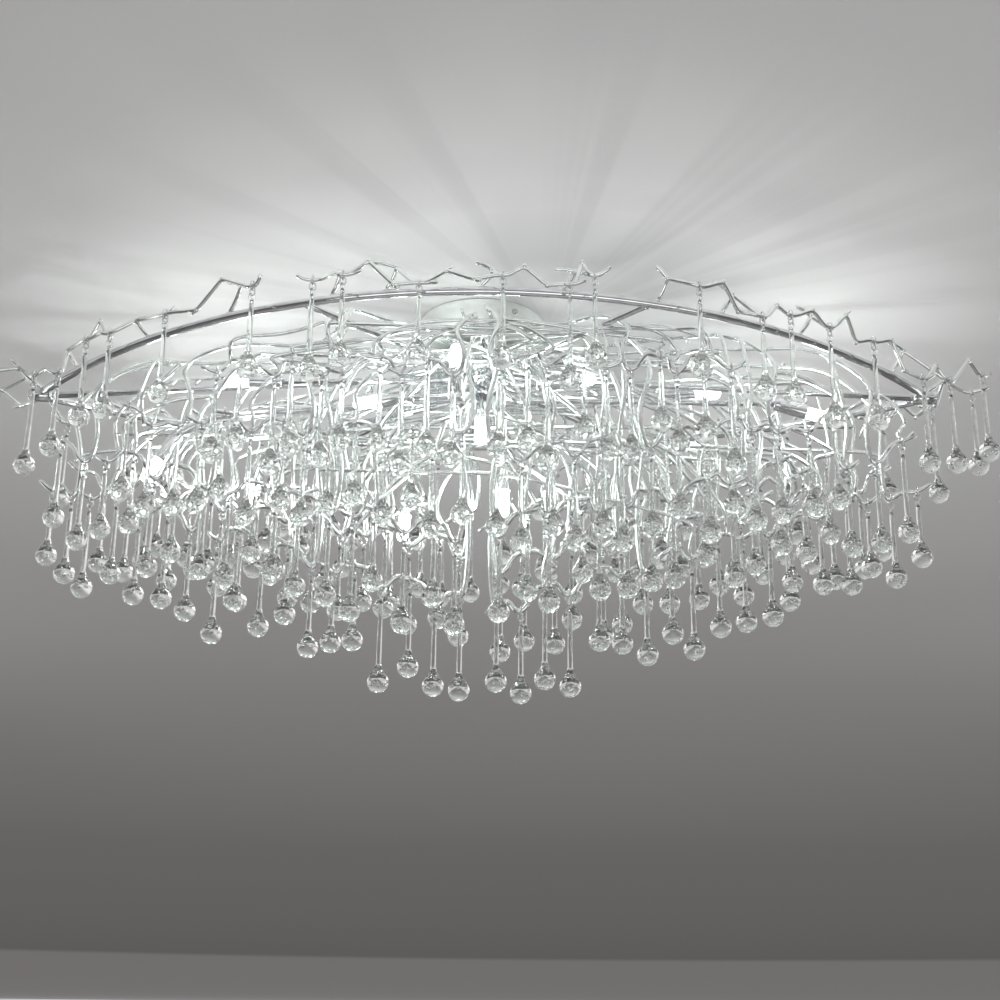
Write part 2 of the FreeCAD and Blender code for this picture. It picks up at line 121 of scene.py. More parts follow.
def make_camera():
    yaw, pitch, roll = (radians(degrees) for degrees in CAMERA_TURNS)
    level = Vector((sin(yaw), cos(yaw), 0))
    look = level * cos(pitch) + UP * sin(pitch)
    side = Vector((cos(yaw), -sin(yaw), 0))
    over = side.cross(look)
    right = side * cos(roll) + over * sin(roll)
    top = over * cos(roll) - side * sin(roll)
    camera = add_object("camera", bpy.data.cameras.new("camera"))
    camera.data.lens = CAMERA_LENS
    camera.data.sensor_width = CAMERA_SENSOR
    turn = Matrix((right, top, -look)).transposed()
    camera.matrix_world = Matrix.Translation(CAMERA_PLACE) @ turn.to_4x4()
    bpy.context.scene.camera = camera


# Materials
NOISE_SPREAD = (0.3, 0.7)


class Look:
    """A material, with short ways to add nodes to it and to feed them."""

    def __init__(self, name):
        self.material = bpy.data.materials.new(name)
        self.material.use_nodes = True
        self.nodes = self.material.node_tree.nodes
        self.links = self.material.node_tree.links

    def feed(self, node, inputs):
        """Sets inputs of a node to plain values, or joins them to another node's outputs."""
        for name, value in inputs.items():
            if isinstance(value, bpy.types.NodeSocket):
                self.links.new(value, node.inputs[name])
            else:
                node.inputs[name].default_value = value

    def add(self, kind, inputs=None, **settings):
        """The outputs of a new node."""
        node = self.nodes.new("ShaderNode" + kind)
        for name, value in settings.items():
            setattr(node, name, value)
        self.feed(node, inputs or {})
        return node.outputs

    def finish(self, inputs):
        """The material, once its surface is fed."""
        self.feed(self.nodes["Principled BSDF"], inputs)
        return self.material

    def maths(self, operation, first, second=0.0):
        return self.add("Math", {0: first, 1: second}, operation=operation)[0]

    def eased(self, source, start, end, high):
        """A value that goes softly from 0 to a height between two distances."""
        inputs = {"Value": source, "From Min": start, "From Max": end, "To Max": high}
        return self.add("MapRange", inputs, interpolation_type="SMOOTHSTEP")["Result"]

    def noise(self, scale, detail, place=None):
        place = place or self.add("TexCoord")["Object"]
        return self.add("TexNoise", {"Vector": place, "Scale": scale, "Detail": detail})["Fac"]

    def ramp(self, source, stops):
        """A value turned into a colour, by (place, colour) stops."""
        blend = self.nodes.new("ShaderNodeValToRGB")
        marks = blend.color_ramp.elements
        while len(marks) < len(stops):
            marks.new(0.5)
        for mark, (place, colour) in zip(marks, stops):
            mark.position = place
            mark.color = colour
        self.feed(blend, {"Fac": source})
        return blend.outputs["Color"]

    def clouds(self, source, low, high):
        """A noise value spread between two colours."""
        return self.ramp(source, list(zip(NOISE_SPREAD, (low, high))))

    def bump(self, source, strength, distance, **under):
        inputs = {"Strength": strength, "Distance": distance, "Height": source}
        return self.add("Bump", {**inputs, **under})["Normal"]


def grey(value):
    return (value, value, value, 1)


def metal(name, low, high, rough, scale, wave, metallic=1.0):
    """Plated or bare metal: its tint, its shine and its surface vary a little."""
    look = Look(name)
    noise = look.noise(scale, 3.0)
    return look.finish({
        "Metallic": metallic,
        "Base Color": look.clouds(noise, low, high),
        "Roughness": look.clouds(look.noise(scale * 6, 2.0), grey(rough[0]), grey(rough[1])),
        "Normal": look.bump(noise, 0.4, wave),
    })


def glass(name, tint, ior, scale, wave, fine_wave):
    """Clear glass with the slow waves and fine ripple of a hand-drawn surface."""
    look = Look(name)
    noise = look.noise(scale, 2.0)
    slow = look.bump(noise, 0.5, wave)
    return look.finish({
        "Transmission Weight": 1.0,
        "Roughness": 0.0,
        "IOR": ior,
        "Base Color": look.clouds(noise, tint, grey(1)),
        "Normal": look.bump(look.noise(scale * 3.2, 1.0), 0.5, fine_wave, Normal=slow),
    })


def matt(name, low, high, rough, scale, wave):
    look = Look(name)
    noise = look.noise(scale, 4.0)
    return look.finish({
        "Roughness": rough,
        "Base Color": look.clouds(noise, low, high),
        "Normal": look.bump(noise, 0.3, wave),
    })


def glowing(name, colour, strength):
    """The lit core of a lamp, a little brighter in places."""
    look = Look(name)
    dimmer = tuple(c * 0.9 for c in colour[:3]) + (1,)
    return look.finish({
        "Base Color": colour,
        "Emission Color": look.clouds(look.noise(90, 2.0), dimmer, colour),
        "Emission Strength": strength,
    })


CHROME = metal("chrome", (0.66, 0.67, 0.68, 1), (0.80, 0.81, 0.82, 1), (0.05, 0.13), 60, 0.00005)
WIRE = metal("wire_chrome", (0.78, 0.81, 0.80, 1), (0.92, 0.945, 0.935, 1), (0.09, 0.20), 110, 0.00022)
SATIN = metal(
    "satin_chrome", (0.78, 0.81, 0.79, 1), (0.88, 0.91, 0.89, 1), (0.34, 0.46), 60, 0.00004, 0.45,
)
STEEL = metal("plated_steel", (0.50, 0.50, 0.49, 1), (0.62, 0.62, 0.60, 1), (0.22, 0.38), 45, 0.00004)
CRYSTAL = glass("crystal", (0.77, 0.81, 0.79, 1), 1.5, 130, 0.0004, 0.00026)
BULB_GLASS = glass("bulb_glass", (0.98, 0.99, 0.99, 1), 1.45, 60, 0.0001, 0.00002)
GLOW = glowing("lamp_glow", (0.97, 1.0, 0.97, 1), 28.0)
CERAMIC = matt("ceramic", (0.80, 0.79, 0.76, 1), (0.88, 0.87, 0.85, 1), 0.4, 180, 0.00005)
PLASTIC = matt("plastic", (0.78, 0.78, 0.76, 1), (0.85, 0.85, 0.83, 1), 0.5, 240, 0.00004)


# Meshes. A shape is a list of vertices and a list of faces.
CORNER_STEPS = 5


class Group:
    """Many small shapes that make one piece."""

    def __init__(self, *shapes):
        self.verts = []
        self.faces = []
        for shape in shapes:
            self.add(*shape)

    def add(self, verts, faces):
        base = len(self.verts)
        self.verts.extend(verts)
        self.faces.extend([tuple(base + k for k in face) for face in faces])

    def make(self, name, material, node=None, slot="chrome", body="frame"):
        """A smooth-shaded piece that rides on a body, most often in place of a node."""
        made = add_mesh(name, self.verts, self.faces)
        made.data.shade_smooth()
        made.data.materials.append(material)
        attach(made, body)
        if node:
            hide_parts(node)
        return made


def ring_faces(rows, sides, closed=False):
    """Quads between rings of vertices: all the way round, or with a flat cap at each end."""
    faces = []
    for r in range(rows if closed else rows - 1):
        low, high = r * sides, (r + 1) % rows * sides
        for k in range(sides):
            n = (k + 1) % sides
            faces.append((low + k, low + n, high + n, high + k))
    if closed:
        return faces
    cap = tuple(range(sides))
    return [cap[::-1]] + faces + [tuple((rows - 1) * sides + k for k in cap)]


def mm(rows, r=0.0, z=0.0):
    """(radius, z) rows in metres from rows in millimetres, counted from a radius and a height."""
    return [(r + out / 1000, z + up / 1000) for out, up in rows]


def lathe(profile, sides, closed=False):
    """A shape turned round +Z from (radius, z) rows, lowest first."""
    verts = [polar(r, 2 * pi * k / sides, z) for r, z in profile for k in range(sides)]
    return verts, ring_faces(len(profile), sides, closed)


def stood(shape, direction, place):
    """A shape drawn round +Z, turned to a direction and moved."""
    turn = UP.rotation_difference(Vector(direction)).to_matrix()
    verts, faces = shape
    return [turn @ v + place for v in verts], faces


def rounded(points, bend):
    """The same run with each corner eased into a short curve."""
    eased = [points[0]]
    for before, corner, after in zip(points, points[1:], points[2:]):
        back = before - corner
        ahead = after - corner
        start = corner + back.normalized() * min(bend, back.length * 0.46)
        end = corner + ahead.normalized() * min(bend, ahead.length * 0.46)
        for k in range(CORNER_STEPS):
            t = k / (CORNER_STEPS - 1)
            eased.append(mix(mix(start, corner, t), mix(corner, end, t), t))
    eased.append(points[-1])
    return eased


def tube(points, radii, sides):
    """A round bar through points, with a radius at each, and eased ends."""
    points = [points[0], *points, points[-1]]
    radii = [radii[0], *radii, radii[-1]]
    tangents = []
    for k in range(len(points)):
        run = points[min(k + 1, len(points) - 1)] - points[max(k - 1, 0)]
        tangents.append(run.normalized())
    tangents[0] = tangents[1]
    tangents[-1] = tangents[-2]
    nib = radii[0] * 0.25
    points[0] = points[1] - tangents[0] * nib
    points[-1] = points[-2] + tangents[-1] * nib
    radii[0] *= 0.8
    radii[-1] *= 0.8
    across = tangents[0].orthogonal().normalized()
    verts = []
    for place, tangent, r in zip(points, tangents, radii):
        across = (across - tangent * across.dot(tangent)).normalized()
        other = tangent.cross(across)
        for k in range(sides):
            turn = 2 * pi * k / sides
            verts.append(place + (across * cos(turn) + other * sin(turn)) * r)
    return verts, ring_faces(len(points), sides)


def bar(start, end, radius, sides=14, shares=(1, 1, 1)):
    """A straight round bar, with the shares of its radius at its start, middle and end."""
    return tube([start, mix(start, end, 0.5), end], [radius * share for share in shares], sides)


def dead_end(start, end, radius):
    """A short bar that thins toward its cut-off tip."""
    return bar(start, end, radius, 7, (1, 0.95, 0.85))


def bent_tube(points, r_start, r_end, bend, sides=8, swell=1.10):
    """A bent round bar that thins evenly, a little thicker where it bends."""
    run = rounded(points, bend)
    last = len(run) - 1
    radii = []
    for k in range(len(run)):
        at_bend = (k - 1) % CORNER_STEPS == CORNER_STEPS // 2 and 0 < k < last
        radii.append(mix(r_start, r_end, k / last) * (swell if at_bend else 1.0))
    return tube(run, radii, sides)


def blob(place, radius, flat=1.0):
    """A rounded lump, as a weld leaves."""
    rows = 5
    profile = []
    for k in range(rows):
        turn = pi * (k + 0.5) / rows - pi / 2
        profile.append((radius * cos(turn), radius * flat * sin(turn)))
    return stood(lathe(profile, 10), UP, place)


def link_ring(long, wide, wire_r, steps=18, sides=6):
    """An oval ring of round wire in the YZ plane, hung from the origin by its inside top."""
    straight = (long - wide) / 2
    verts = []
    for k in range(steps):
        turn = 2 * pi * k / steps
        out = Vector((0, cos(turn), sin(turn)))
        shift = UP * copysign(straight, sin(turn) + 1e-9)
        centre = out * (wide / 2) + shift - UP * (long / 2 - wire_r)
        for j in range(sides):
            lean = 2 * pi * j / sides
            flesh = out * cos(lean) + Vector((1, 0, 0)) * sin(lean)
            verts.append(centre + flesh * wire_r)
    return verts, ring_faces(steps, sides, closed=True)


def box_of(points):
    """The lowest and the highest corner of the box round some points."""
    return [Vector([pick(p[k] for p in points) for k in range(3)]) for pick in (min, max)]


# Hinge lines and hooks
class Line:
    """One straight line of hooks: its place, way and body, and the drops on it."""

    def __init__(self, joint):
        self.name = joint["child"]
        self.number = int(self.name.split("_")[1])
        self.start = Vector(joint["pos_m"])
        self.way = Vector(joint["axis"]).normalized()
        self.across = self.way.cross(UP).normalized()
        self.turn = atan2(self.way.y, self.way.x)
        self.hooks = [Hook(self, distance, Vector(), True) for distance in sorted(self.find_hooks())]

    def at(self, distance):
        return self.start + self.way * distance

    def find_hooks(self):
        """Distances along the line of the drops that the frame has."""
        flat = Vector((self.way.x, self.way.y))
        found = []
        for part in loose_parts("drops_%02d" % self.number):
            low, high = box_of(part)
            away = (low + high) / 2 - self.start
            found.append(away.xy.dot(flat) / flat.length_squared)
        return found


class Hook:
    """The place where one drop hangs, on its line or a little beside it."""

    def __init__(self, line, distance, shift, in_frame=False):
        self.distance = distance
        self.place = line.at(distance) + shift
        self.in_frame = in_frame


def loose_parts(node):
    """The separate solids of a node, each as its list of vertices."""
    mesh = bmesh.new()
    mesh.from_mesh(NODES[node].data)
    bmesh.ops.remove_doubles(mesh, verts=mesh.verts, dist=1e-6)
    left = set(mesh.verts)
    parts = []
    while left:
        part = [left.pop()]
        for vert in part:
            near = left & {edge.other_vert(vert) for edge in vert.link_edges}
            left -= near
            part.extend(near)
        parts.append([vert.co.copy() for vert in part])
    mesh.free()
    return parts


# Drops
def shoulder_radius(rise):
    """Radius of the drop between its ball and its stem, at a height over the ball's middle."""
    top_turn = radians(BALL_TOP_TURN)
    start = BALL_R * sin(top_turn)
    left = 1 - (rise - start) / (FLARE - start)
    return STEM_LOW_R + (BALL_R * cos(top_turn) - STEM_LOW_R) * left ** FLARE_EASE


def drop_profile():
    """(radius, z) rows of a drop's body under its eye, with z = 0 at the top of the eye."""
    rows = []
    for degrees in range(-86, BALL_TOP_TURN + 1, 9):
        turn = radians(degrees)
        rows.append((BALL_R * cos(turn), BALL_Z + BALL_R * sin(turn)))
    edge_z = rows[-1][1] - BALL_Z
    for k in range(1, 8):
        rise = mix(edge_z, FLARE, k / 7)
        rows.append((shoulder_radius(rise), BALL_Z + rise))
    for t in (0.3, 0.65, 0.92, 1.0):
        radius = mix(STEM_LOW_R, STEM_TOP_R, t) * (0.75 if t == 1.0 else 1.0)
        rows.append((radius, mix(BALL_Z + FLARE, EYE_LOW + 0.0006, t)))
    return rows


def joined(*shapes):
    """One closed shape from two closed shapes that overlap."""
    first, second = (add_mesh("shape", *shape) for shape in shapes)
    union = first.modifiers.new("union", "BOOLEAN")
    union.operation = "UNION"
    union.object = second
    union.solver = "EXACT"
    solid = first.evaluated_get(bpy.context.evaluated_depsgraph_get())
    result = solid.to_mesh()
    verts = [v.co.copy() for v in result.vertices]
    faces = [tuple(p.vertices) for p in result.polygons]
    solid.to_mesh_clear()
    for made in (first, second):
        mesh = made.data
        bpy.data.objects.remove(made)
        bpy.data.meshes.remove(mesh)
    return verts, faces


def bubble_cloud(kind):
    """Small hollows in the upper half of the ball and the flare, walls facing inwards."""
    draw = random.Random(kind).uniform
    ball = bmesh.new()
    bmesh.ops.create_icosphere(ball, subdivisions=1, radius=1)
    shape = [v.co.copy() for v in ball.verts]
    skin = [tuple(v.index for v in f.verts)[::-1] for f in ball.faces]
    ball.free()
    cloud = Group()
    for _ in range(BUBBLES):
        rise = draw(-0.15, 1.55) * BALL_R
        if rise < BALL_R * sin(radians(BALL_TOP_TURN)):
            reach = sqrt(BALL_R ** 2 - rise ** 2)
        else:
            reach = shoulder_radius(rise)
        out = sqrt(draw(0, 1)) * reach * 0.80
        turn = draw(0, 2 * pi)
        size = min(draw(*BUBBLE_SIZE), reach * 0.17)
        place = polar(out, turn, BALL_Z + rise)
        cloud.add([place + v * size for v in shape], skin)
    return cloud.verts, cloud.faces


def drop_kind(kind):
    """One drop with its eye as a single closed body, and its bubbles."""
    verts, faces = link_ring(2 * EYE_RING_R, 2 * EYE_RING_R, EYE_WIRE_R, 16, 8)
    lift = UP * (-EYE_RING_R - EYE_WIRE_R) + UP * (EYE_RING_R - EYE_WIRE_R)
    eye = [v + lift for v in verts], faces
    return joined(lathe(drop_profile(), DROP_SIDES), eye), bubble_cloud(kind)


def stretched(verts, extra):
    """A longer or shorter drop: only its stem changes, and its ball keeps its shape."""
    changed = []
    for v in verts:
        share = clamped((EYE_LOW - v.z) / (EYE_LOW - (BALL_Z + FLARE)), 0.0, 1.0)
        changed.append(Vector((v.x, v.y, v.z - extra * share)))
    return changed


make_camera()
RIM_COUNT = 6
lines = sorted((Line(joint) for joint in frame["joints"]), key=lambda line: line.number)
RIM_LINES = lines[:RIM_COUNT]
LANE_LINES = lines[RIM_COUNT:]


# Hooks between those of the frame, in millimetres along each line. On the front rim they
# are where the photo shows them.
EXTRA_RIM_HOOKS = {
    1: (-174, -60, 101),
    2: (238, 315, 354),
    3: (114, 209, 345, 387),
    4: (-171, -88, 74),
    5: (96, 212, 352),
    6: (88, 204, 330, 392),
}
# Feet of the rim twigs, also in millimetres, and how many hooks each twig carries
RIM_TWIGS = {
    1: ((-158, 2), (-98, 1), (5, 2), (92, 1)),
    2: ((70, 1), (185, 2), (300, 2), (405, 2)),
    3: ((-20, 1), (63, 2), (170, 3), (310, 2)),
    4: ((-156, 2), (-50, 2), (100, 2)),
    5: ((62, 2), (182, 2), (312, 2), (405, 1)),
    6: ((55, 2), (178, 2), (300, 2), (412, 2)),
}
GAP_TO_RIM = 0.038
LAST_X = 0.530
WANDER_ALONG = 0.007
WANDER_ACROSS = 0.004
WANDER_UP = 0.004
LEVELS = (0.018, 0.001, 0.020, 0.004)
RIM_WANDER_UP = (-0.014, 0.006)
RIM_TIP_START = 0.3
RIM_TIP_WANDER_UP = (-0.032, -0.008)
LENGTH_WANDER = 0.018
LENGTH_TRIES = 24
SMALL_WANDER = 0.001
DROP_ROOM = 0.0011
DROP_SIGHT = 0.080
STEM_START = 0.030


def rim_half_width(x):
    """Distance from the middle to the outer line of hooks, at a place along the hoop."""
    outer = RIM_LINES[2]
    run = max(abs(x) - outer.start.x, 0) / outer.way.x
    return abs((outer.start + outer.way * run).y)


def extra_hook(line, distance, level, draw):
    side = line.across * draw(-1, 1) * WANDER_ACROSS
    rise = UP * (level + draw(-1, 1) * WANDER_UP)
    return Hook(line, distance + draw(-1, 1) * WANDER_ALONG, side + rise)


def add_hooks(line):
    """Drops between, before and after those of the frame."""
    draw = random.Random(40 + line.number).uniform
    extras = []
    if line.number in EXTRA_RIM_HOOKS:
        for distance in (along / 1000 for along in EXTRA_RIM_HOOKS[line.number]):
            wander = RIM_TIP_WANDER_UP if distance > RIM_TIP_START else RIM_WANDER_UP
            extras.append(Hook(line, distance, UP * draw(*wander)))
    else:
        first, last = line.hooks[0].distance, line.hooks[-1].distance
        pitch = (line.hooks[1].distance - first) / (len(LEVELS) + 1)
        if first > pitch:
            extras.append(extra_hook(line, first - pitch, LEVELS[0], draw))
        for hook in line.hooks[:-1]:
            for n, level in enumerate(LEVELS):
                extras.append(extra_hook(line, hook.distance + (n + 1) * pitch, level, draw))
        ahead = line.at(last + pitch)
        while abs(ahead.x) < LAST_X and rim_half_width(ahead.x) - abs(ahead.y) > GAP_TO_RIM:
            last += pitch
            extras.append(extra_hook(line, last, LEVELS[len(extras) % len(LEVELS)], draw))
            ahead = line.at(last + pitch)
    line.hooks = sorted(line.hooks + extras, key=lambda hook: hook.distance)


for line in lines:
    add_hooks(line)


# Hanging glass and its chain links
kinds = [drop_kind(kind) for kind in range(DROP_KINDS)]
TOP_RING = link_ring(RING_LONG, RING_WIDE, RING_WIRE_R)
LOW_RING = link_ring(LOW_RING_LONG, LOW_RING_WIDE, RING_WIRE_R)
TOP_RING_LIFT = TWIG_R + 2 * RING_WIRE_R + 0.0003
LOW_RING_FALL = RING_LONG - 3.2 * RING_WIRE_R
EYE_FALL = LOW_RING_LONG - 2.2 * RING_WIRE_R - EYE_WIRE_R
DROP_FALL = LOW_RING_FALL + EYE_FALL - TOP_RING_LIFT + DROP_LENGTH - BALL_R
TOP_TWIST, LOW_TWIST, EYE_TWIST = 0.2, 0.25, 0.35


def swings(line, hook, longer=0.0):
    """The top of a drop's stem and its ball's middle, at rest and at both limits of its hinge."""
    stem = (hook.place - UP * STEM_START, hook.place - UP * (DROP_FALL + longer))
    states = [stem]
    for limit in (-SWING, SWING):
        turn = Matrix.Rotation(limit, 3, line.way)
        states.append(tuple(turn @ (place - line.start) + line.start for place in stem))
    return states


def beside_stem(place, stem):
    """Distance of a place from a stem, which is a straight run of two ends."""
    top, ball = stem
    run = ball - top
    share = clamped((place - top).dot(run) / run.length_squared, 0.0, 1.0)
    return (place - top - run * share).length


def room_between(one, other):
    """The least room between two drops' glass, at rest and as either or both swing."""
    rooms = []
    for a, b in ((0, 0), (1, 0), (2, 0), (0, 1), (0, 2), (1, 1), (2, 2)):
        rooms.append((one[a][1] - other[b][1]).length - 2 * BALL_R)
        for (_, ball), stem in ((one[a], other[b]), (other[b], one[a])):
            rooms.append(beside_stem(ball, stem) - BALL_R - STEM_LOW_R)
    return min(rooms)


def free_length(line, hook, draw):
    """How much longer a drop is than the usual one, so that its ball clears its neighbours."""
    best, most = 0.0, -1.0
    for _ in range(LENGTH_TRIES):
        longer = draw(-1, 1) * LENGTH_WANDER
        drop = swings(line, hook, longer)
        near = [other for other in drops if (other[0][1] - drop[0][1]).length < DROP_SIGHT]
        room = min([room_between(drop, other) for other in near] + [DROP_SIGHT])
        if room > DROP_ROOM:
            return longer
        if room > most:
            best, most = longer, room
    return best


drops = [swings(line, hook) for line in lines for hook in line.hooks if hook.in_frame]


def twisted(turn, most, draw):
    return Matrix.Rotation(turn + draw(-most, most), 3, "Z")


def hang_line(line):
    glass_group, link_group = Group(), Group()
    chance = random.Random(70 + line.number)
    draw = chance.uniform
    for hook in line.hooks:
        shapes = chance.choice(kinds)
        twist = twisted(line.turn, TOP_TWIST, draw)
        low_twist = twisted(line.turn + pi / 2, LOW_TWIST, draw)
        eye_twist = twisted(line.turn, EYE_TWIST, draw)
        top = hook.place + UP * TOP_RING_LIFT
        low = top - UP * LOW_RING_FALL
        eye = low - UP * EYE_FALL
        link_group.add([top + twist @ v for v in TOP_RING[0]], TOP_RING[1])
        link_group.add([low + low_twist @ v for v in LOW_RING[0]], LOW_RING[1])
        longer = draw(-1, 1) * SMALL_WANDER
        if not hook.in_frame:
            longer = free_length(line, hook, draw)
            drops.append(swings(line, hook, longer))
        for verts, faces in shapes:
            glass_group.add([eye + eye_twist @ v for v in stretched(verts, longer)], faces)
    number = "%02d" % line.number
    made = glass_group.make("drops_glass_" + number, CRYSTAL, "drops_" + number, "crystal", line.name)
    made.visible_shadow = False
    link_group.make("rings_" + number, CHROME, "links_" + number, body=line.name)


# Hoop and the straight tubes that hold it
HALF_LENGTH = 0.540
HALF_WIDTH = 0.231
TIP_DROP = 0.095
ARCH_RISE = 0.025
RAIL_END = 0.531
RAIL_STEPS = 72
COLLAR_X = 0.521
STRUT_X = 0.190
MIDDLE_Z = ARCH_RISE - TIP_DROP
HUB_R = 0.030
IN_HUB = 0.024
RAIL_RISE = hypot(HALF_WIDTH, ARCH_RISE)
RAIL_BEND = (HALF_LENGTH ** 2 + RAIL_RISE ** 2) / (2 * RAIL_RISE)


def rail_point(x, side):
    share = (sqrt(RAIL_BEND ** 2 - x ** 2) - (RAIL_BEND - RAIL_RISE)) / RAIL_RISE
    return Vector((x, side * HALF_WIDTH * share, -TIP_DROP + ARCH_RISE * share))


def make_rail(side, node, name):
    xs = [mix(-RAIL_END, RAIL_END, k / RAIL_STEPS) for k in range(RAIL_STEPS + 1)]
    points = [rail_point(x, side) for x in xs]
    Group(tube(points, [RAIL_R] * len(points), 18)).make(name, CHROME, node)


def weld_ring(place, way, r):
    """The raised bead where a tube is welded on."""
    rows = ((0.9, -0.0022), (1.22, -0.0012), (1.30, 0), (1.18, 0.0013), (0.9, 0.0024))
    return stood(lathe([(r * share, z) for share, z in rows], 16), way, place)


def make_struts():
    group = Group()
    for hand in (-1, 1):
        for side in (-1, 1):
            target = rail_point(STRUT_X, side)
            target.x *= hand
            flat = Vector((target.x, target.y, 0)).normalized()
            start = flat * IN_HUB + UP * MIDDLE_Z
            way = (target - start).normalized()
            group.add(*bar(start, target - way * (RAIL_R - 0.002), STRUT_R))
            group.add(*weld_ring(target - way * RAIL_R, way, STRUT_R))
            group.add(*weld_ring(start + way * (HUB_R - 0.0235), way, STRUT_R))
    group.make("strut_tubes", CHROME, "struts")


def make_spine():
    group = Group()
    for hand in (-1, 1):
        start = Vector((hand * IN_HUB, 0, MIDDLE_Z))
        end = Vector((hand * (COLLAR_X + 0.002), 0, -TIP_DROP))
        way = (end - start).normalized()
        group.add(*bar(start, end, SPINE_R))
        group.add(*weld_ring(start + way * 0.0065, way, SPINE_R))
    group.make("spine_tubes", CHROME, "spine_arms")


def make_collars():
    """Turned sleeves at the tips, with a groove at each end."""
    profile = mm((
        (5.8, 0), (7.2, 0.6), (8, 2), (8, 4.2), (7.3, 4.8), (7.3, 5.6), (8, 6.2),
        (8, 23.8), (7.3, 24.4), (7.3, 25.2), (8, 25.8), (8, 28), (7, 29.4), (5, 30),
    ))
    group = Group()
    for hand in (-1, 1):
        place = Vector((hand * COLLAR_X, 0, -TIP_DROP))
        group.add(*stood(lathe(profile, 28), (hand, 0, 0), place))
    group.make("tip_sleeves", CHROME, "tip_collars")


# Canopy, stem and hub
CANOPY_R = 0.075
CANOPY_Z = -0.030
CANOPY_EDGE = 0.0045
CANOPY_WALL = 0.0015
STEM_R = 0.010
SCREW_TURN = -57.0
SCREW_Z = -0.012
HUB_TOP = MIDDLE_Z + 0.0104
HUB_BOTTOM = HUB_TOP - 0.026


def make_canopy():
    """A pressed shell: rolled lip at the ceiling, straight side, soft lower edge, flat face."""
    r, low, edge, hole = CANOPY_R, CANOPY_Z, CANOPY_EDGE, STEM_R - 0.0012
    flat = (hole, STEM_R + 0.002, r * 0.5, r * 0.8, r - edge - 0.002)
    outer = [(x, low) for x in flat]
    for k in range(7):
        turn = radians(90 * k / 6)
        outer.append((r - edge + edge * sin(turn), low + edge - edge * cos(turn)))
    outer += mm(((0, -12), (0, -3.5), (0.6, -2.4), (0.9, -1.6), (0.5, -0.7), (-0.4, -0.5)), r)
    inner = [(x - CANOPY_WALL, max(z, low + CANOPY_WALL)) for x, z in outer[5:13]][::-1]
    profile = outer + inner + [(hole, low + CANOPY_WALL)]
    Group(lathe(profile, 96, closed=True)).make("canopy_shell", SATIN, "canopy")


def make_screws():
    """Domed screw heads in the canopy's side."""
    profile = mm((
        (1.9, -9), (2, -8.5), (2, 0), (3.9, 0), (4, 0.6), (3.6, 1.8), (2.6, 2.6), (1.2, 3),
    ))
    group = Group()
    for turn in (SCREW_TURN, SCREW_TURN + 180):
        way = polar(1, radians(turn))
        group.add(*stood(lathe(profile, 18), way, way * CANOPY_R + UP * SCREW_Z))
    group.make("side_screws", STEEL, "canopy_screws", "steel")


def make_stem():
    """A tube with a turned ferrule on the hub and a small collar under the canopy."""
    ferrule = (
        (3.5, 0), (3.5, 2), (2.8, 2.7), (2.8, 3.5), (3.4, 4.2), (3.2, 6), (1.8, 7.4), (0.4, 8),
        (0, 8.6),
    )
    collar = ((0, -4), (0.6, -3), (2.5, -2.2), (3, -0.8), (2.6, 0))
    profile = mm(ferrule, STEM_R, HUB_TOP) + mm(collar, STEM_R, CANOPY_Z)
    Group(lathe(profile, 40)).make("stem_tube", CHROME, "stem")


def make_hub():
    """A thick disc with soft edges and a shallow band turned round its side."""
    edge = ((-26, 0), (-10, 0), (-3.5, 0.6), (-1.2, 2), (0, 4.5), (0, 7.5), (-1.2, 8.5))
    top = [(out, -up) for out, up in edge[::-1]]
    profile = mm(edge, HUB_R, HUB_BOTTOM) + mm(top, HUB_R, HUB_TOP)
    Group(lathe(profile, 56)).make("hub_body", CHROME, "hub")


# Wires through hooks: they run straight at each one, and bend between two by
# (place, share of the rise, share of the lean) rows
AT_HOOK = 0.006
LONG_GAP = 0.060
SHORT_BENDS = ((0.5, 1.0, 1.0),)
LONG_BENDS = ((0.32, 1.0, 1.0), (0.66, -0.3, -0.7))
BRANCH_RISE = (0.004, 0.011)
TWIG_RISE = (0.011, 0.022)

# Twigs of the rim
TWIG_BEND = 0.006
FOOT_WELD_R = 0.0042
FORK_LEAN = (0.010, 0.018)
FORK_RISE = (0.012, 0.020)
KNUCKLE = 1.32
KNUCKLE_RUN = 0.0125
KNUCKLE_TURN = 0.35
CUT_CHANCE = 0.4
BACK_CHANCE = 0.7
RUNNER_CHANCE = 0.8
RUNNER_LONGEST = 0.150

# Branches out of the hub
BRANCH_BEND = 0.034
BRANCH_SWELL = 1.04
SPUR_CHANCE = 0.3
SPUR_RUN = 0.018
FALL_STEPS = ((-0.006, 0.0, 1.0), (0.007, 0.35, 1.0), (-0.004, 0.72, 0.4))
SPINE_BYPASS = 0.013
FAR_BRANCH = 0.100
FAR_LEVEL = 0.014
NEAR_LEVEL = -0.002
ROOT_SINK = (0.004, 0.010)
PATH_TRIES = 12

# Falling wires, and the room that all wires leave
HANG_ROOM = 0.035
HANG_REACH = 0.028
HANG_FARTHEST = 0.060
HANG_INWARD = 0.012
RUN_STEP = 0.008
BELOW_SPINE = -0.110
LAMP_ROOM = 0.017
LAMP_SIGHT = 0.013
WIRE_ROOM = 0.0042
WIRE_SIGHT = 0.035


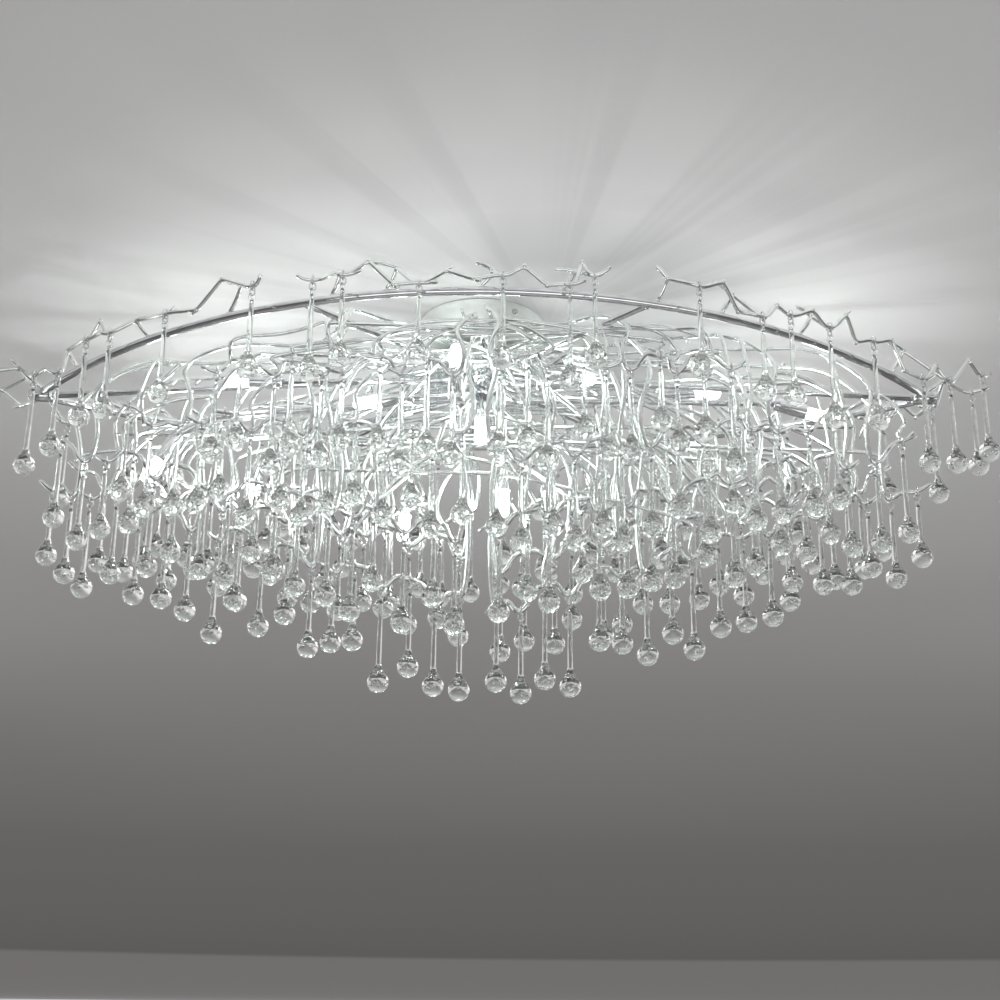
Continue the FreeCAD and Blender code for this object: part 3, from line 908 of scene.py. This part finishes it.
def along_hooks(line, hooks, draw, rises=BRANCH_RISE):
    """Crooked wire through hooks: straight at each one, bent to and fro between them."""
    points = []
    for hook, ahead in zip(hooks, hooks[1:] + [None]):
        points += [hook.place - line.way * AT_HOOK, hook.place + line.way * AT_HOOK]
        if ahead:
            rise = UP * draw(*rises)
            lean = line.across * draw(-0.008, 0.008)
            gap = ahead.distance - hook.distance
            for share, up, aside in SHORT_BENDS if gap < LONG_GAP else LONG_BENDS:
                points.append(mix(hook.place, ahead.place, share) + (rise * up + lean * aside))
    return points


def end_nib(line, hook, draw, hand=1):
    """The free end past the last hook, turned up so that the ring stays on."""
    ahead = hook.place + line.way * hand * draw(0.013, 0.019)
    side = line.way.cross(UP) * draw(-0.005, 0.005)
    return ahead + UP * draw(0.003, 0.008) + side


def add_spurs(group, points, draw):
    """Short dead ends that grow out of a branch's bends."""
    for before, corner in zip(points, points[1:-1]):
        if (corner - before).length < SPUR_RUN or draw(0, 1) > SPUR_CHANCE:
            continue
        way = (corner - before).normalized()
        away = Vector([draw(-1, 1) for _ in range(3)])
        away = (way * 0.6 + (away - way * away.dot(way)).normalized() * 0.8).normalized()
        tip = corner + away * draw(0.010, 0.018)
        if clear_of_drops([corner, tip]):
            group.add(*dead_end(corner, tip, SPUR_R))


def rim_twigs(line, group):
    """The crooked wires that stand on a rail and carry one line's hooks."""
    draw = random.Random(line.number).uniform
    side = -1 if line.start.y < 0 else 1
    left = list(line.hooks)
    last = None
    for along, count in RIM_TWIGS[line.number]:
        foot_at = along / 1000
        hooks, left = left[:count], left[count:]
        near = last and hooks[0].distance - last.distance < RUNNER_LONGEST
        if near and draw(0, 1) < RUNNER_CHANCE:
            twig(group, along_hooks(line, [last, hooks[0]], draw, TWIG_RISE), draw)
        last = hooks[-1]
        below = line.at(foot_at)
        foot = rail_point(clamped(below.x, -RAIL_END, RAIL_END), side) + UP * (RAIL_R - 0.001)
        group.add(*blob(foot, FOOT_WELD_R, 0.6))
        before = [hook for hook in hooks if hook.distance < foot_at]
        after = [hook for hook in hooks if hook.distance >= foot_at]
        main = after or before
        lean = line.way * (-1 if main is before else 1) * draw(*FORK_LEAN)
        fork = mix(foot, below, 0.45) + lean + UP * draw(*FORK_RISE)
        group.add(*blob(fork, TWIG_R * 1.5))
        path = [foot, mix(foot, fork, 0.55) + lean * 0.12, fork]
        twig(group, path + arm(line, main, main is before, draw), draw)
        if after and before:
            twig(group, [fork] + arm(line, before, True, draw), draw)
        elif draw(0, 1) < BACK_CHANCE:
            back = line.way if main is before else -line.way
            stub = fork + back * draw(0.014, 0.026) + UP * draw(0.002, 0.012)
            twig(group, [fork, mix(fork, stub, 0.5) + UP * 0.002, stub], draw)


def twig(group, path, draw):
    """A crooked wire of the rim, with a knuckle where it bends and some cut-off ends."""
    group.add(*bent_tube(path, TWIG_R * 1.10, TWIG_R, TWIG_BEND))
    for before, corner, after in zip(path, path[1:], path[2:]):
        shortest = min((corner - before).length, (after - corner).length)
        if shortest < KNUCKLE_RUN or (corner - before).angle(after - corner) < KNUCKLE_TURN:
            continue
        group.add(*blob(corner, TWIG_R * KNUCKLE))
        if draw(0, 1) < CUT_CHANCE:
            way = (corner - before).normalized()
            tip = corner + way * draw(0.006, 0.012) + UP * draw(-0.001, 0.003)
            group.add(*dead_end(corner, tip, TWIG_R))


def arm(line, hooks, backward, draw):
    """Points of an arm through its hooks, walked outward or back along the line."""
    points = along_hooks(line, hooks, draw, TWIG_RISE)
    if backward:
        return points[::-1] + [end_nib(line, hooks[0], draw, -1)]
    return points + [end_nib(line, hooks[-1], draw)]


def fall_y(place):
    """Side position of a branch's way down; the middle lane's passes beside the spine arm."""
    if abs(place.y) > 0.010:
        return place.y
    return copysign(SPINE_BYPASS, place.x)


def branch_path(line, hooks, root_turn, tier, draw):
    """Out of the hub, up and over, then down in zigzags to its hooks."""
    path = along_hooks(line, hooks, draw) + [end_nib(line, hooks[-1], draw)]
    hand = copysign(1, line.way.x)
    start = path[0]
    y_fall = fall_y(start)
    out = polar(1, root_turn)
    root = out * (HUB_R - ROOT_SINK[tier]) + UP * (HUB_TOP - 0.003)
    far = hypot(start.x, y_fall) > FAR_BRANCH
    level = HUB_TOP + (FAR_LEVEL if far else NEAR_LEVEL) + draw(-0.013, 0.006)
    falls = []
    for sway, fallen, shift in FALL_STEPS:
        y = start.y + (y_fall - start.y) * shift + draw(-0.007, 0.007)
        x = start.x + hand * sway * draw(0.8, 2.2)
        falls.append(Vector((x, y, level + (start.z - level) * fallen)))
    top = falls[0]
    points = [root]
    if far:
        lift = root + out * 0.008 + UP * draw(0.012, 0.020)
        crest = mix(lift, top, draw(0.40, 0.55))
        crest.z = level + draw(0, 0.004)
        side_step = Vector((-out.y, out.x, 0)) * draw(-0.014, 0.014)
        shoulder = mix(root, top, 0.90) + side_step * 0.4
        shoulder.z = level - 0.006
        wave = mix(crest, shoulder, draw(0.4, 0.6)) - side_step * 1.2
        wave.z = level - draw(0.002, 0.014)
        points += [lift, crest + side_step, wave, shoulder]
    else:
        shoulder = mix(root, top, 0.8)
        shoulder.z = level + 0.006
        points += [shoulder]
    return points + falls[1:] + path


def side_arm(line, path, hooks, draw):
    """A second wire that leaves a branch on its way down and joins it again farther out."""
    target = hooks[-2].place + line.way * draw(0.008, 0.014)
    leave = path[-(3 * len(hooks)) - 2]
    out = mix(leave, target, 0.45)
    out.z = mix(leave.z, target.z, draw(0.05, 0.25))
    sway = line.across * draw(-0.010, 0.010)
    above = target + UP * draw(0.022, 0.040) + line.way * draw(-0.006, 0.010)
    return [leave, out + sway, above - sway * 0.5, target]


def finely(points):
    """The same run with points close together."""
    fine = []
    for start, end in zip(points, points[1:]):
        steps = max(1, round((end - start).length / RUN_STEP))
        fine += [mix(start, end, k / steps) for k in range(steps)]
    return fine + [points[-1]]


def overhead(runs, hook):
    """The place on the wires overhead, nearer the hub, that a falling wire leaves from."""
    best, least = None, HANG_FARTHEST
    top = BELOW_SPINE if abs(hook.place.y) < SPINE_BYPASS else 0.0
    for run in runs:
        for place in run:
            inward = abs(hook.place.x) - abs(place.x)
            if inward < HANG_INWARD or not hook.place.z + HANG_ROOM < place.z < top:
                continue
            aside = hypot(inward, (place.y - hook.place.y) * 2.5)
            if abs(aside - HANG_REACH) < least:
                best, least = place, abs(aside - HANG_REACH)
    return best


def hanger(line, start, hook, draw):
    """A wire that arches off a branch overhead and falls in an S to its own hook."""
    fall = start.z - hook.place.z
    across = line.across * draw(-0.008, 0.008)
    over = mix(start, hook.place, draw(0.50, 0.70))
    over.z = start.z - fall * draw(0.02, 0.15)
    low = hook.place + line.way * draw(0.002, 0.012) + across
    low.z = hook.place.z + fall * draw(0.35, 0.50)
    near = hook.place - line.way * draw(0.001, 0.006) - across * 0.5
    near += UP * min(0.014, fall * 0.2)
    return [start, over, low, near, hook.place, end_nib(line, hook, draw)]


def clear_of_lamps(points):
    """True if a wire passes no lamp too closely, and hides no bulb from the front."""
    eye = Vector(CAMERA_PLACE)
    for base, way, _, _ in LAMPS:
        place = under_hub(base)
        bulb = bulb_middle(base, way)
        way = Vector(way).normalized()
        sight = (bulb - eye).normalized()
        for point in finely(points):
            along = clamped((point - place).dot(way), 0.0, BULB_TOP)
            if (point - place - way * along).length < LAMP_ROOM:
                return False
            ahead = (point - eye).dot(sight)
            beside = (point - eye - sight * ahead).length
            if ahead < (bulb - eye).length and beside < LAMP_SIGHT:
                return False
    return True


def clear_of_drops(points):
    """True if a wire keeps off every drop, at rest and as the drops swing."""
    low, high = box_of(points)
    fine = finely(points)
    for drop in drops:
        top, ball = drop[0]
        if ball.z > high.z + WIRE_SIGHT or top.z < low.z:
            continue
        if any(not low[k] - WIRE_SIGHT < ball[k] < high[k] + WIRE_SIGHT for k in (0, 1)):
            continue
        for point in fine:
            for stem in drop:
                if (point - stem[1]).length < BALL_R + WIRE_ROOM:
                    return False
                if beside_stem(point, stem) < STEM_LOW_R + WIRE_ROOM:
                    return False
    return True


def is_clear(path):
    shown = rounded(path, BRANCH_BEND)
    return clear_of_lamps(shown) and clear_of_drops(shown)


def root_order(job):
    """The turn round the hub at which a branch's first hook lies."""
    place = job[1][0].place
    return atan2(fall_y(place), place.x)


def lane_groups():
    """The inner lines with their hooks, in the runs that one branch each carries."""
    jobs = []
    for line in LANE_LINES:
        starts = [k for k, hook in enumerate(line.hooks) if hook.in_frame]
        starts[0] = 0
        for k, end in zip(starts, starts[1:] + [len(line.hooks)]):
            jobs.append((line, line.hooks[k:end]))
    return sorted(jobs, key=root_order)


def side_word(line):
    if abs(line.start.y) < 0.001:
        return "middle"
    return "front" if line.start.y < 0 else "back"


def branch_wire(path, r_start, r_end, sides=8):
    return bent_tube(path, r_start, r_end, BRANCH_BEND, sides, BRANCH_SWELL)


def make_wires():
    groups = {name: Group() for name in ("front", "middle", "back")}
    runs = {name: [] for name in groups}
    jobs = lane_groups()
    step = 2 * pi / len(jobs)
    for k, (line, hooks) in enumerate(jobs):
        draw = random.Random(500 + k).uniform
        group = groups[side_word(line)]
        for _ in range(PATH_TRIES):
            path = branch_path(line, hooks, -pi + (k + 0.5) * step, k % 2, draw)
            shown = rounded(path, BRANCH_BEND)
            if clear_of_drops(shown):
                break
        group.add(*branch_wire(path, BRANCH_R * 1.1, BRANCH_TIP_R))
        runs[side_word(line)].append(finely(shown))
        if len(hooks) > 2:
            extra = side_arm(line, path, hooks, draw)
            if is_clear(extra):
                group.add(*branch_wire(extra, BRANCH_R * 0.95, BRANCH_TIP_R))
        group.add(*blob(path[0] + UP * 0.002, BRANCH_R * 1.5, 0.7))
        add_spurs(group, path[2:-1], draw)
    for k, (line, hooks) in enumerate(jobs):
        draw = random.Random(900 + k).uniform
        word = side_word(line)
        for hook in hooks:
            start = overhead(runs[word], hook)
            if start is None or hook.in_frame:
                continue
            path = hanger(line, start, hook, draw)
            if is_clear(path):
                groups[word].add(*branch_wire(path, HANGER_R, HANGER_R * 0.92, 7))
    for word, group in groups.items():
        group.make(word + "_branch_wires", WIRE, word + "_branches")
    twigs = {name: Group() for name in ("front", "back")}
    for line in RIM_LINES:
        rim_twigs(line, twigs[side_word(line)])
    for word, group in twigs.items():
        group.make(word + "_twig_wires", WIRE, word + "_rim_twigs")


# Lamps, in millimetres under the hub: the foot of each holder, the way it points, where
# its arm leaves the hub, as a place or as degrees round the hub, and the arm's bends. The
# first lamp stands on the hub itself.
LAMPS = (
    ((0, 0, 0), (0, 0, -1), None, ()),
    ((-27, -85, -51), (0, 0, 1), 258, ((-6, -60, -26), (-19, -83, -57))),
    ((-238, -25, -2), (-1, 0, 0.02), 231, ((-36, -27, 0),)),
    ((-80, -30, -22), (-1, -0.1, -0.2), (-4, -12, 3), ((-8, -24, -18), (-50, -30, -22))),
    ((66, -25, -4), (1, 0, 0.1), 309, ((36, -27, -1),)),
    ((222, 25, 0), (1, 0, 0.1), 51, ((36, 27, 0),)),
    ((350, -25, -28), (1, 0, -0.3), 285, ((40, -34, -28), (200, -30, -28))),
    ((-370, 25, -50), (-0.5, 0, -0.8), 129, ((-36, 27, -2), (-330, 25, -26))),
    ((-272, 80, -54), (-0.25, 0, -0.9), 105, ((-60, 38, -8), (-200, 80, -22))),
    ((28, 33, -80), (0, 0, -1), (8, 14, 3), ((28, 33, -26),)),
    ((-90, 82, -96), (-0.1, 0, -0.95), (5, 11, 3), ((-20, 46, -30), (-86, 82, -64))),
)
SOCKET_TOP = 0.020
BULB_R = 0.0070
CORE_R = 0.0064
BULB_TOP = 0.072
PIN_R = 0.0005
PIN_GAP = 0.0022
BULB_POWER = 0.56
BULB_DEPTH = 0.15
BULB_LAMP_R = 0.016


def under_hub(place):
    return Vector([distance / 1000 for distance in place]) + UP * HUB_BOTTOM


def bulb_middle(base, way):
    return under_hub(base) + Vector(way).normalized() * (SOCKET_TOP + BULB_TOP) / 2


def bulb_lamp(place):
    """A small light inside a capsule, which casts the wires' shadows on the ceiling."""
    lamp = bpy.data.lights.new("bulb", "POINT")
    lamp.energy = BULB_POWER * (place.z / BULB_DEPTH) ** 2
    lamp.shadow_soft_size = BULB_LAMP_R
    lamp.color = (0.94, 1.0, 0.97)
    add_object("bulb", lamp, place)


def dome(r, top):
    """(radius, z) rows of a round end."""
    turns = [radians(degrees) for degrees in (0, 22, 42, 60, 75, 86)]
    return [(r * cos(turn), top - r + r * sin(turn)) for turn in turns]


def arm_root(root):
    if isinstance(root, tuple):
        return under_hub(root)
    return polar(0.026, radians(root), 0.0015) + UP * HUB_BOTTOM


def make_lamps():
    holders, sockets, bulbs, cores, pins, arms = (Group() for _ in range(6))
    cup = mm((
        (4.5, -0.4), (6.5, 0), (7.9, 0.6), (8.5, 2), (8.5, 6.2), (8, 6.8), (8, 7.8), (8.5, 8.4),
        (8.5, 37), (8.8, 38.2), (8.6, 39.6), (7.9, 40), (7.3, 39.4), (7.3, 5), (3, 4),
    ))
    seat = mm(((6, 4), (6.4, 6), (6.4, 18.4), (5.8, 20), (2, 20)))
    neck = mm(((3.6, 20.5), (4.2, 24), (4.8, 29), (6.2, 34), (7, 42)))
    capsule = neck + dome(BULB_R, BULB_TOP)
    core = mm(((2.2, 33), (5, 38), (6.4, 45))) + dome(CORE_R, BULB_TOP - 0.0008)
    turned_parts = ((holders, cup, 28), (sockets, seat, 20), (bulbs, capsule, 24), (cores, core, 16))
    for base, way, root, bends in LAMPS:
        place = under_hub(base)
        bulb_lamp(bulb_middle(base, way))
        for group, profile, sides in turned_parts:
            group.add(*stood(lathe(profile, sides), way, place))
        for hand in (-1, 1):
            run = [Vector((hand * PIN_GAP, 0, SOCKET_TOP + z)) for z in (-0.001, 0.010, 0.019)]
            pins.add(*stood(tube(run, [PIN_R] * 3, 6), way, place))
        if root is not None:
            path = [arm_root(root)] + [under_hub(bend) for bend in bends] + [place]
            arms.add(*bent_tube(path, LAMP_ARM_R, LAMP_ARM_R, 0.014, 12))
    holders.make("lamp_cups", CHROME, "lamp_holders")
    sockets.make("ceramic_sockets", CERAMIC, "lamp_sockets", "white_ceramic")
    bulbs.make("capsule_bulbs", BULB_GLASS, "bulbs", "bulb_glass").visible_shadow = False
    arms.make("lamp_arm_tubes", CHROME, "lamp_arms")
    cores.make("glowing_cores", GLOW, slot="bulb_glass").visible_shadow = False
    pins.make("bulb_pins", STEEL, slot="steel")


def dress_cad():
    for node, material in (("mounting_plate", STEEL), ("terminal_block", PLASTIC)):
        NODES[node].data.materials.clear()
        NODES[node].data.materials.append(material)


# Ceiling and floor: their tones by distance from the middle, which paint a pool of light
# round the lamps and its falloff, their paint, the painted shade in which glass and metal
# see them, the painted reflection that metal alone sees in them, how bright their middle
# and sides look in both as painted reflections, how far out the middle reaches, and how
# deep their painted shadows are
CEILING = dict(
    painted_light_tones=(
        (0.0, 0.20), (0.18, 0.26), (0.3, 0.45), (0.42, 0.40), (0.6, 0.28), (1.0, 0.215), (1.4, 0.17),
        (2.2, 0.145), (3.1, 0.135), (5.4, 0.107), (9.4, 0.10), (14.0, 0.09), (14.6, 0.14),
    ),
    paint_tone=0.35,
    shade=1.0,
    painted_metal_reflection=0.0,
    painted_middle_reflection=0.5,
    near=(0.45, 0.85),
    painted_side_reflection=3.6,
    painted_shadow_depth=0.12,
)
FLOOR = dict(
    painted_light_tones=((0.0, 0.30), (1.5, 0.28), (4.0, 0.22), (9.0, 0.16)),
    paint_tone=0.12,
    shade=0.13,
    painted_metal_reflection=0.35,
    painted_middle_reflection=0.85,
    near=(1.0, 2.2),
    painted_side_reflection=0.0,
    painted_shadow_depth=0.0,
)
CEILING_PLACE = (0.08, 0, 0.0005)
FLOOR_PLACE = (0, 0, -2.4)
GROUND_SIZE = 60.0
# Painted shadows on the ceiling: their scale and the distances over which they fade out; then where
# the painted side reflections start and are full
PAINTED_SHADOW_SCALE = 8.5
PAINTED_SHADOW_REACH = (0.28, 0.72)
SIDE_REACH = (0.75, 1.15)


def painted_shadow_streaks(look, place, away, depth):
    """Painted soft shadows, as of the wires, that spread out from the middle: how much of the tone is
    left.
    """
    way = look.add("VectorMath", {0: place}, operation="NORMALIZE")[0]
    dark = look.eased(look.noise(PAINTED_SHADOW_SCALE, 2.5, way), 0.54, 0.40, depth)
    fade = look.eased(away, PAINTED_SHADOW_REACH[1], PAINTED_SHADOW_REACH[0], 1.0)
    return look.maths("SUBTRACT", 1.0, look.maths("MULTIPLY", dark, fade))


def backdrop(name, painted_light_tones, paint_tone, shade, painted_metal_reflection, painted_middle_reflection, near, painted_side_reflection, painted_shadow_depth):
    """A surface whose tones paint a pool of light round the middle, falling off outward, seen
    only from its own side, with painted shadows for the camera.

    Metal and glass see it in a painted shade of its own, with painted reflections that are
    brighter near the lamps and out at both sides.
    """
    look = Look(name)
    look.nodes.remove(look.nodes["Principled BSDF"])
    reach = painted_light_tones[-1][0]
    place = look.add("TexCoord")["Object"]
    away = look.add("VectorMath", {0: place}, operation="LENGTH")["Value"]
    stops = []
    # The tones paint a pool of light round the middle and its falloff farther out
    for distance, tone in painted_light_tones:
        warm = min(distance, 2.0) / 2
        colour = (tone * mix(0.99, 1.06, warm), tone, tone * mix(1.0, 0.99, warm), 1)
        stops.append((distance / reach, colour))
    colour = look.ramp(look.maths("DIVIDE", away, reach), stops)
    aside = look.maths("ABSOLUTE", look.add("SeparateXYZ", {0: place})["X"])
    # Painted reflections and shade: glass and metal see the backdrop in their own shade, brighter in
    # the middle and at both sides, and metal alone sees it brighter still
    middle_painted_reflection = look.eased(away, near[1], near[0], painted_middle_reflection)
    painted_reflections = look.maths("ADD", middle_painted_reflection, look.eased(aside, *SIDE_REACH, painted_side_reflection))
    ray = look.add("LightPath")
    shown = look.maths("ADD", look.maths("MULTIPLY", painted_reflections, ray["Is Glossy Ray"]), shade)
    metal_only = look.maths("GREATER_THAN", ray["Is Glossy Ray"], ray["Is Transmission Ray"])
    shown = look.maths("ADD", shown, look.maths("MULTIPLY", metal_only, painted_metal_reflection))
    # Painted shadows of the wires, seen by the camera only
    tone_left_by_painted_shadows = painted_shadow_streaks(look, place, away, painted_shadow_depth)
    strength = look.add("Mix", {"Factor": ray["Is Camera Ray"], "A": shown, "B": tone_left_by_painted_shadows})["Result"]
    glow = look.add("Emission", {"Color": colour, "Strength": strength})[0]
    paint = look.add("BsdfDiffuse", {"Color": grey(paint_tone)})[0]
    both = look.add("AddShader", {0: glow, 1: paint})[0]
    clear = look.add("BsdfTransparent")[0]
    behind = look.add("NewGeometry")["Backfacing"]
    choice = look.add("MixShader", {0: behind, 1: both, 2: clear})[0]
    look.feed(look.nodes["Material Output"], {"Surface": choice})
    return look.material


def make_ground(name, place, face, looks):
    half = GROUND_SIZE / 2
    corners = [(-half, -half, 0), (half, -half, 0), (half, half, 0), (-half, half, 0)]
    made = add_mesh(name, corners, [face], place)
    made.data.materials.append(backdrop(name, **looks))


def area_lamp(name, place, target, size, power):
    lamp = bpy.data.lights.new(name, "AREA")
    lamp.shape = "RECTANGLE"
    lamp.size, lamp.size_y = size
    lamp.energy = power
    way = Vector(target) - Vector(place)
    add_object(name, lamp, place).rotation_euler = way.to_track_quat("-Z", "Y").to_euler()


def make_light():
    world = bpy.data.worlds.new("room")
    bpy.context.scene.world = world
    world.use_nodes = True
    sky = world.node_tree.nodes["Background"].inputs
    sky["Color"].default_value = (0.9, 0.92, 0.95, 1)
    sky["Strength"].default_value = 0.6
    make_ground("ceiling", CEILING_PLACE, (3, 2, 1, 0), CEILING)
    make_ground("floor", FLOOR_PLACE, (0, 1, 2, 3), FLOOR)
    area_lamp("front", (0.3, -2.6, -1.7), (0, 0, -0.25), (4.0, 1.3), 26)
    for name, x, power in (("left", -2.3, 8), ("right", 2.3, 7)):
        area_lamp(name, (x, 0.9, -0.8), (0, 0, -0.3), (1.6, 0.9), power)
    cycles = bpy.context.scene.cycles
    cycles.max_bounces = 24
    cycles.transmission_bounces = 24
    bpy.context.scene.view_settings.view_transform = "Standard"


for line in lines:
    hang_line(line)
make_rail(-1, "front_rail", "hoop_front")
make_rail(1, "back_rail", "hoop_back")
make_struts()
make_spine()
make_collars()
make_canopy()
make_screws()
make_stem()
make_hub()
make_wires()
make_lamps()
dress_cad()
make_light()
